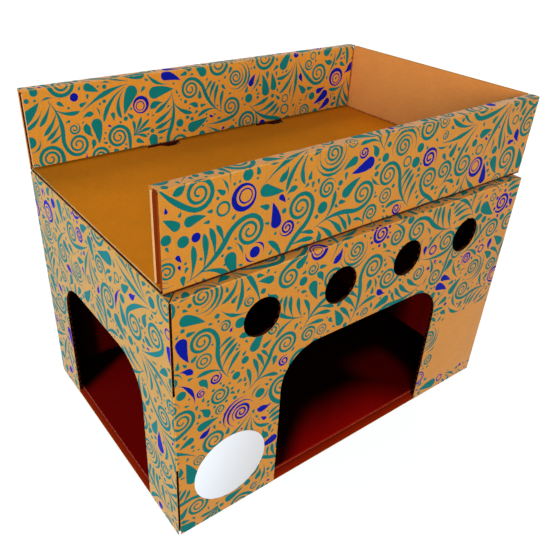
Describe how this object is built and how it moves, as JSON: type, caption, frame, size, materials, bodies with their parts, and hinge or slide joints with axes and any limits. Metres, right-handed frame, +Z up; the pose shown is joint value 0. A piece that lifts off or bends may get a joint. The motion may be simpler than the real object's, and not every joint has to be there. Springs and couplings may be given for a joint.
{
  "type": "cardboard cat house",
  "caption": "Cat house of printed corrugated cardboard: a box with two arched doorways and round vents, with a lift-off perch tray on its roof",
  "frame": {"origin": "under the middle of the whole object's box, on the surface it stands on", "axes": "+X to the right along the front, +Y to the back, +Z up"},
  "size_m": [0.455, 0.2986, 0.3643],
  "materials": {
    "printed_board": "kraft board with a matt teal and blue scroll print on its outer liner",
    "plain_board": "unprinted kraft board, matt, with faint flute lines",
    "sticker_paper": "bare white sticker paper, satin"
  },
  "bodies": {
    "house": {"front_wall": "printed_board", "left_wall": "printed_board", "back_wall": "printed_board", "right_wall": "printed_board", "glue_flap": "plain_board", "top_flange_front": "printed_board", "top_flange_right": "printed_board", "top_flange_back": "printed_board", "top_flange_left": "printed_board", "round_sticker": "sticker_paper"},
    "tray": {"tray_deck": "plain_board", "tray_front_outer": "printed_board", "tray_front_ridge": "printed_board", "tray_front_inner": "printed_board", "tray_back_outer": "printed_board", "tray_back_ridge": "printed_board", "tray_back_inner": "printed_board", "tray_right_wall": "printed_board", "tray_corner_flap_front": "plain_board", "tray_corner_flap_back": "plain_board"},
    "floor_panel": {"floor_panel": "plain_board"},
    "bottom_flange_front": {"bottom_flange_front": "printed_board"},
    "bottom_flange_right": {"bottom_flange_right": "printed_board"},
    "bottom_flange_back": {"bottom_flange_back": "printed_board"},
    "bottom_flange_left": {"bottom_flange_left": "printed_board"}
  },
  "joints": [
    {"name": "tray_lift", "type": "slide", "parent": "house", "child": "tray", "axis": [0, 0, 1], "range_m": [0, 0.12]},
    {"name": "floor_panel_lift", "type": "slide", "parent": "house", "child": "floor_panel", "axis": [0, 0, 1], "range_m": [0, 0.2]},
    {"name": "bottom_flange_front_crease", "type": "hinge", "parent": "house", "child": "bottom_flange_front", "pos_m": [-0.0025, -0.14875, 0], "axis": [-1, 0, 0], "range_deg": [0, 90]},
    {"name": "bottom_flange_right_crease", "type": "hinge", "parent": "house", "child": "bottom_flange_right", "pos_m": [0.2225, 0.00025, 0], "axis": [0, -1, 0], "range_deg": [0, 90]},
    {"name": "bottom_flange_back_crease", "type": "hinge", "parent": "house", "child": "bottom_flange_back", "pos_m": [-0.0025, 0.14925, 0], "axis": [1, 0, 0], "range_deg": [0, 90]},
    {"name": "bottom_flange_left_crease", "type": "hinge", "parent": "house", "child": "bottom_flange_left", "pos_m": [-0.2275, 0.00025, 0], "axis": [0, 1, 0], "range_deg": [0, 90]}
  ]
}
